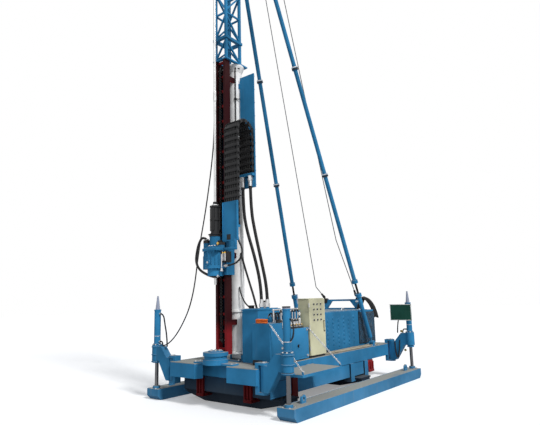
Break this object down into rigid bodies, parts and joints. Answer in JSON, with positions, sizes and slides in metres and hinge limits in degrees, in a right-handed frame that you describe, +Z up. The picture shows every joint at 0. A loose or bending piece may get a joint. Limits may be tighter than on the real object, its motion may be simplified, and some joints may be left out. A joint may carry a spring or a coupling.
{
  "type": "jet grouting rig on walking pontoons",
  "caption": "Walking jet grouting rig: tall stayed mast with sliding rotary head and drag chain on a flat deck, with jacked side pontoons, power pack and control cabinet.",
  "frame": {"origin": "on the ground, below the middle of the machine's box in plan", "axes": "+Z up, +X to the side with the control cabinet, +Y from the mast at the front to the rear"},
  "size_m": [3.2, 4.658, 12.735],
  "materials": {
    "blue_paint": "satin",
    "navy_paint": "satin",
    "red_paint": "satin",
    "white_paint": "satin",
    "cream_paint": "satin",
    "dusty_plate": "matte",
    "chrome_rod": "polished",
    "bright_steel": "brushed",
    "black_steel": "matte",
    "black_plastic": "matte",
    "black_rubber": "matte",
    "green_paint": "gloss",
    "pale_plastic": "matte"
  },
  "bodies": {
    "chassis": {"deck_frame": "blue_paint", "deck_plate": "dusty_plate", "sub_frame": "blue_paint", "front_claws": "red_paint", "rear_claws": "red_paint", "jack_barrels": "blue_paint", "jack_tips": "pale_plastic", "outrigger_arms": "blue_paint", "arm_pins": "bright_steel", "mast_foot": "blue_paint", "stay_feet": "blue_paint", "rod_vise": "blue_paint", "power_pack": "blue_paint", "oil_tank": "blue_paint", "valve_bank": "bright_steel", "pump_motor": "blue_paint", "cabinet_shell": "cream_paint", "rear_housing": "blue_paint", "grilles": "black_steel", "mast_rest": "blue_paint", "sign_plate": "green_paint", "platform_chains": "bright_steel", "hose_front": "black_rubber", "hose_rear": "black_rubber", "mast_cable": "black_rubber"},
    "front_boat": {"front_boat": "navy_paint"},
    "rear_boat": {"rear_boat": "navy_paint"},
    "left_pontoon": {"left_pontoon": "blue_paint", "left_jack_rods": "chrome_rod"},
    "right_pontoon": {"right_pontoon": "blue_paint", "right_jack_rods": "chrome_rod"},
    "mast": {"mast_column": "white_paint", "mast_rails": "red_paint", "feed_chain": "black_steel", "mast_adapter": "blue_paint", "lattice_lower": "blue_paint", "lattice_middle": "blue_paint", "lattice_upper": "blue_paint", "crown_block": "blue_paint", "stay_lugs": "blue_paint", "chain_trough": "blue_paint", "drag_chain_fixed": "black_plastic"},
    "crown_sheave": {"crown_sheave": "bright_steel"},
    "left_stay": {"left_stay": "blue_paint"},
    "right_stay": {"right_stay": "blue_paint"},
    "left_stay_screw": {"left_stay_screw": "blue_paint"},
    "right_stay_screw": {"right_stay_screw": "blue_paint"},
    "rotary_head": {"head_carriage": "blue_paint", "gearbox": "blue_paint", "drive_motors": "blue_paint", "chain_bracket": "blue_paint", "drag_chain_moving": "black_plastic", "head_hose": "black_rubber"},
    "drag_loop": {"drag_chain_loop": "black_plastic"},
    "spindle": {"chuck": "black_steel", "drill_rod": "bright_steel"},
    "cabinet_door": {"cabinet_door": "cream_paint", "cabinet_buttons": "black_plastic"},
    "platform": {"platform": "dusty_plate"}
  },
  "joints": [
    {"name": "front_boat_slide", "type": "slide", "parent": "chassis", "child": "front_boat", "axis": [1, 0, 0], "range_m": [-0.18, 0.18]},
    {"name": "rear_boat_slide", "type": "slide", "parent": "chassis", "child": "rear_boat", "axis": [1, 0, 0], "range_m": [-0.18, 0.18]},
    {"name": "left_pontoon_lift", "type": "slide", "parent": "chassis", "child": "left_pontoon", "axis": [0, 0, 1], "range_m": [-0.2, 0.24]},
    {"name": "right_pontoon_lift", "type": "slide", "parent": "chassis", "child": "right_pontoon", "axis": [0, 0, 1], "range_m": [-0.2, 0.24]},
    {"name": "mast_tilt", "type": "hinge", "parent": "chassis", "child": "mast", "pos_m": [0, -1.6125, 0.745], "axis": [1, 0, 0], "range_deg": [-2, 2], "deforming": ["hose_front", "hose_rear", "mast_cable"]},
    {"name": "left_stay_hinge", "type": "hinge", "parent": "mast", "child": "left_stay", "pos_m": [-0.178, -1.5275, 9.97], "axis": [1, 0, 0], "range_deg": [-0.5, 0.5]},
    {"name": "left_stay_screw_slide", "type": "slide", "parent": "left_stay", "child": "left_stay_screw", "axis": [-0.0736, 0.3155, -0.9461], "range_m": [-0.12, 0.12]},
    {"name": "right_stay_hinge", "type": "hinge", "parent": "mast", "child": "right_stay", "pos_m": [0.178, -1.5275, 9.97], "axis": [1, 0, 0], "range_deg": [-0.5, 0.5]},
    {"name": "right_stay_screw_slide", "type": "slide", "parent": "right_stay", "child": "right_stay_screw", "axis": [0.0736, 0.3155, -0.9461], "range_m": [-0.12, 0.12]},
    {"name": "head_slide", "type": "slide", "parent": "mast", "child": "rotary_head", "axis": [0, 0, 1], "range_m": [-1.05, 2.36], "deforming": ["drag_chain_moving", "drag_chain_fixed"]},
    {"name": "drag_loop_slide", "type": "slide", "parent": "mast", "child": "drag_loop", "axis": [0, 0, 1], "range_m": [-0.55, 1.25]},
    {"name": "spindle_spin", "type": "hinge", "parent": "rotary_head", "child": "spindle", "pos_m": [0, -2.1425, 2.76], "axis": [0, 0, 1], "continuous": true},
    {"name": "crown_sheave_spin", "type": "hinge", "parent": "mast", "child": "crown_sheave", "pos_m": [0, -2.0025, 12.595], "axis": [1, 0, 0], "continuous": true},
    {"name": "cabinet_door_hinge", "type": "hinge", "parent": "chassis", "child": "cabinet_door", "pos_m": [0.955, -0.8275, 0.72], "axis": [0, 0, -1], "range_deg": [0, 90]},
    {"name": "platform_fold", "type": "hinge", "parent": "chassis", "child": "platform", "pos_m": [0.972, -1.9525, 0.585], "axis": [0, -1, 0], "range_deg": [0, 80], "deforming": ["platform_chains"]}
  ],
  "couplings": [
    {"joint": "left_stay_hinge", "follows": "mast_tilt", "ratio": -0.10232},
    {"joint": "left_stay_screw_slide", "follows": "mast_tilt", "m_per_rad": 2.9907},
    {"joint": "right_stay_hinge", "follows": "mast_tilt", "ratio": -0.10232},
    {"joint": "right_stay_screw_slide", "follows": "mast_tilt", "m_per_rad": 2.9907},
    {"joint": "drag_loop_slide", "follows": "head_slide", "ratio": 0.5}
  ]
}
